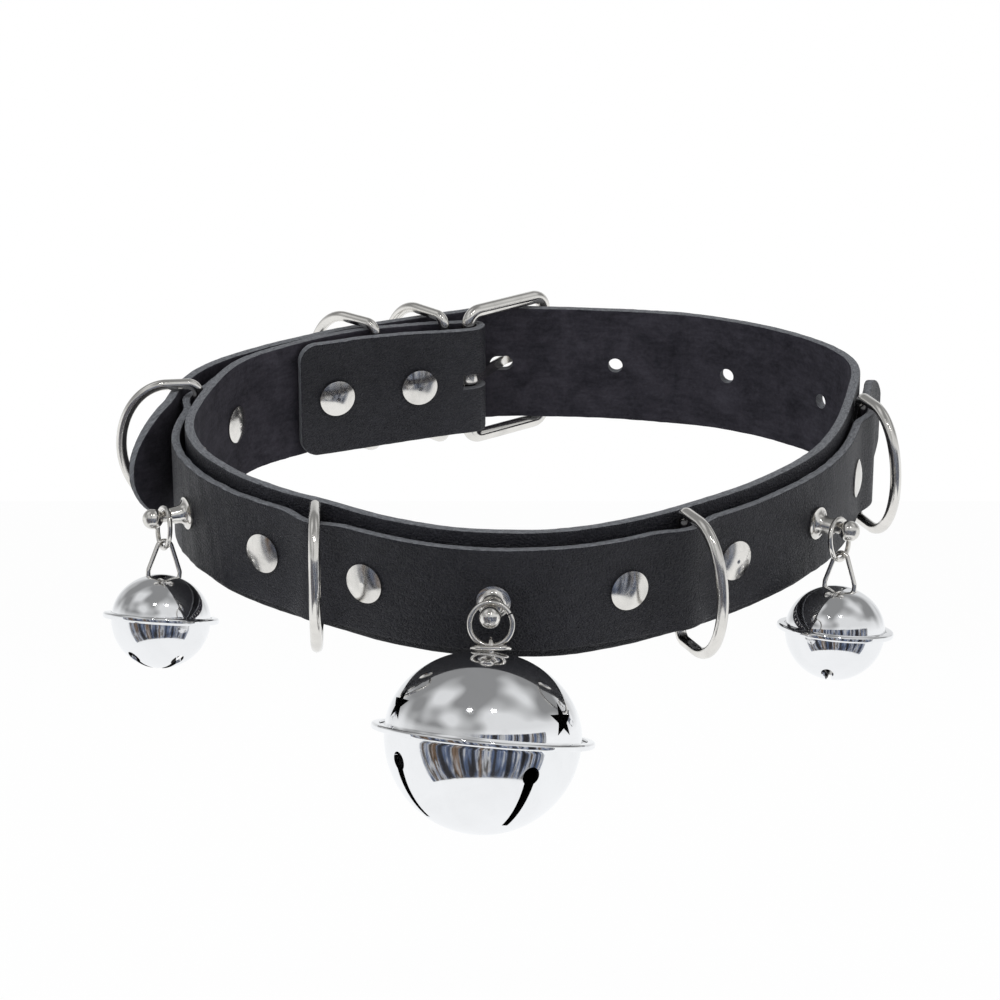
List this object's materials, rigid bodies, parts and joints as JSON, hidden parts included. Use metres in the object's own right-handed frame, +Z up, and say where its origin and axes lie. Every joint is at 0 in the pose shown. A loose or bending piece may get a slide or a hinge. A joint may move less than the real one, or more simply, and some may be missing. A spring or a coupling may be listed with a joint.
{
  "type": "belled collar",
  "caption": "Buckled leather collar of two riveted straps with D-rings, carrying jingle bells hung by jump rings from ball studs on its front.",
  "frame": {"origin": "centre of the collar's neck opening, at half the strap's width", "axes": "+Z straight up, the way the bells hang plumb; +X to the viewer's right along the collar's width; -Y towards the front with the bells, so the buckle is at +Y; the collar leans 21.5 degrees, front down, about X"},
  "size_m": [0.1641, 0.1584, 0.1081],
  "materials": {
    "leather": "black grained leather, smooth face out, with a rough purple-grey suede back and grey cut edges",
    "bell_metal": "bright polished nickel plate",
    "nickel": "polished nickel-plated wire and turned fittings"
  },
  "bodies": {
    "collar": {"main_strap": "leather", "overlay_strap": "leather", "rivet_cap_01": "nickel", "rivet_cap_02": "nickel", "rivet_cap_03": "nickel", "rivet_cap_04": "nickel", "rivet_cap_05": "nickel", "rivet_cap_06": "nickel", "rivet_cap_07": "nickel", "rivet_cap_08": "nickel", "rivet_cap_09": "nickel", "rivet_cap_10": "nickel", "rivet_post_01": "nickel", "rivet_post_02": "nickel", "rivet_post_03": "nickel", "rivet_post_04": "nickel", "rivet_post_05": "nickel", "rivet_post_06": "nickel", "rivet_post_07": "nickel", "rivet_post_08": "nickel", "rivet_post_09": "nickel", "rivet_post_10": "nickel", "stud_centre": "nickel", "stud_left": "nickel", "stud_right": "nickel", "stud_screw_centre": "nickel", "stud_screw_left": "nickel", "stud_screw_right": "nickel"},
    "d_ring_left": {"d_ring_left": "nickel"},
    "d_ring_front_left": {"d_ring_front_left": "nickel"},
    "d_ring_front_right": {"d_ring_front_right": "nickel"},
    "d_ring_right": {"d_ring_right": "nickel"},
    "keeper_ring_near": {"keeper_ring_near": "nickel"},
    "keeper_ring_far": {"keeper_ring_far": "nickel"},
    "buckle": {"buckle_frame": "nickel", "buckle_prong": "nickel"},
    "jump_ring_left": {"jump_ring_left": "nickel"},
    "bell_left": {"bell_top_left": "bell_metal", "bell_bottom_left": "bell_metal", "bell_bail_left": "nickel"},
    "pellet_left": {"pellet_left": "bell_metal"},
    "jump_ring_centre": {"jump_ring_centre": "nickel"},
    "bell_centre": {"bell_top_centre": "bell_metal", "bell_bottom_centre": "bell_metal", "bell_bail_centre": "nickel"},
    "pellet_centre": {"pellet_centre": "bell_metal"},
    "jump_ring_right": {"jump_ring_right": "nickel"},
    "bell_right": {"bell_top_right": "bell_metal", "bell_bottom_right": "bell_metal", "bell_bail_right": "nickel"},
    "pellet_right": {"pellet_right": "bell_metal"}
  },
  "joints": [
    {"name": "d_ring_left_swing", "type": "hinge", "parent": "collar", "child": "d_ring_left", "pos_m": [-0.0662, 0.00639, 0.00252], "axis": [0, -0.3665, 0.9304], "range_deg": [-50, 16]},
    {"name": "d_ring_front_left_swing", "type": "hinge", "parent": "collar", "child": "d_ring_front_left", "pos_m": [-0.03824, -0.05429, -0.02139], "axis": [0, -0.3665, 0.9304], "range_deg": [-100, 35]},
    {"name": "d_ring_front_right_swing", "type": "hinge", "parent": "collar", "child": "d_ring_front_right", "pos_m": [0.0326, -0.05793, -0.02282], "axis": [0, -0.3665, 0.9304], "range_deg": [-65, 82]},
    {"name": "d_ring_right_swing", "type": "hinge", "parent": "collar", "child": "d_ring_right", "pos_m": [0.07279, -0.00039, -0.00015], "axis": [0, -0.3665, 0.9304], "range_deg": [-17, 128]},
    {"name": "keeper_ring_near_swing", "type": "hinge", "parent": "collar", "child": "keeper_ring_near", "pos_m": [-0.0149, 0.04289, 0.0169], "axis": [0, -0.3665, 0.9304], "range_deg": [-25, 8]},
    {"name": "keeper_ring_far_swing", "type": "hinge", "parent": "collar", "child": "keeper_ring_far", "pos_m": [-0.03, 0.03824, 0.01506], "axis": [0, -0.3665, 0.9304], "range_deg": [-25, 14]},
    {"name": "buckle_turn", "type": "hinge", "parent": "collar", "child": "buckle", "pos_m": [-0.0096, 0.04429, 0.01744], "axis": [0, -0.3665, 0.9304], "range_deg": [-0.5, 2.5]},
    {"name": "jump_ring_left_swing", "type": "hinge", "parent": "collar", "child": "jump_ring_left", "pos_m": [-0.07025, -0.03141, -0.01237], "axis": [-0.9171, -0.3988, 0], "range_deg": [-22, 10]},
    {"name": "bell_left_swing", "type": "hinge", "parent": "jump_ring_left", "child": "bell_left", "pos_m": [-0.07025, -0.03141, -0.01865], "axis": [0.3988, -0.9171, 0], "range_deg": [-40, 4]},
    {"name": "pellet_left_roll", "type": "hinge", "parent": "bell_left", "child": "pellet_left", "pos_m": [-0.07084, -0.03141, -0.03283], "axis": [0.3988, -0.9171, 0], "range_deg": [-30, 30]},
    {"name": "jump_ring_centre_swing", "type": "hinge", "parent": "collar", "child": "jump_ring_centre", "pos_m": [-0.00423, -0.07501, -0.02955], "axis": [-0.0984, -0.9951, 0], "range_deg": [-14, 12]},
    {"name": "bell_centre_swing", "type": "hinge", "parent": "jump_ring_centre", "child": "bell_centre", "pos_m": [-0.00423, -0.07501, -0.03571], "axis": [0.9951, -0.0984, 0], "range_deg": [-35, 3]},
    {"name": "pellet_centre_roll", "type": "hinge", "parent": "bell_centre", "child": "pellet_centre", "pos_m": [-0.00574, -0.07501, -0.05263], "axis": [0.9951, -0.0984, 0], "range_deg": [-30, 30]},
    {"name": "jump_ring_right_swing", "type": "hinge", "parent": "collar", "child": "jump_ring_right", "pos_m": [0.06532, -0.03693, -0.01455], "axis": [0.8445, -0.5355, 0], "range_deg": [-18, 16]},
    {"name": "bell_right_swing", "type": "hinge", "parent": "jump_ring_right", "child": "bell_right", "pos_m": [0.06532, -0.03693, -0.02081], "axis": [0.5355, 0.8445, 0], "range_deg": [-40, 4]},
    {"name": "pellet_right_roll", "type": "hinge", "parent": "bell_right", "child": "pellet_right", "pos_m": [0.06454, -0.03584, -0.0349], "axis": [0.5355, 0.8445, 0], "range_deg": [-30, 30]}
  ]
}
